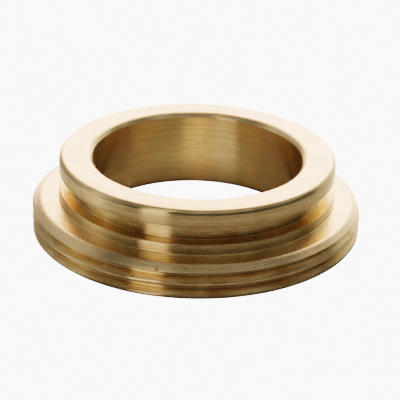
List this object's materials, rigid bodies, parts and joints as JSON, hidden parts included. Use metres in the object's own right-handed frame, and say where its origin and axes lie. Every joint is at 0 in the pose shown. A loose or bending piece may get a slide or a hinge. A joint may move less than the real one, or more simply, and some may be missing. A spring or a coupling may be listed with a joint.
{
  "type": "cartridge retaining nut",
  "caption": "Turned brass ring nut with an externally threaded flange, a grooved collar for an O-ring and a plain through bore, made to hold a tap cartridge in its body.",
  "frame": {"origin": "centre of the bore, on the flat pressing face under the flange", "axes": "+Z along the bore axis, from the pressing face up to the collar"},
  "size_m": [0.038, 0.038, 0.009],
  "materials": {
    "turned_brass": "bare brass as turned, satin, with fine tool marks round the axis"
  },
  "bodies": {
    "root": {"retaining_nut": "turned_brass"}
  },
  "joints": []
}
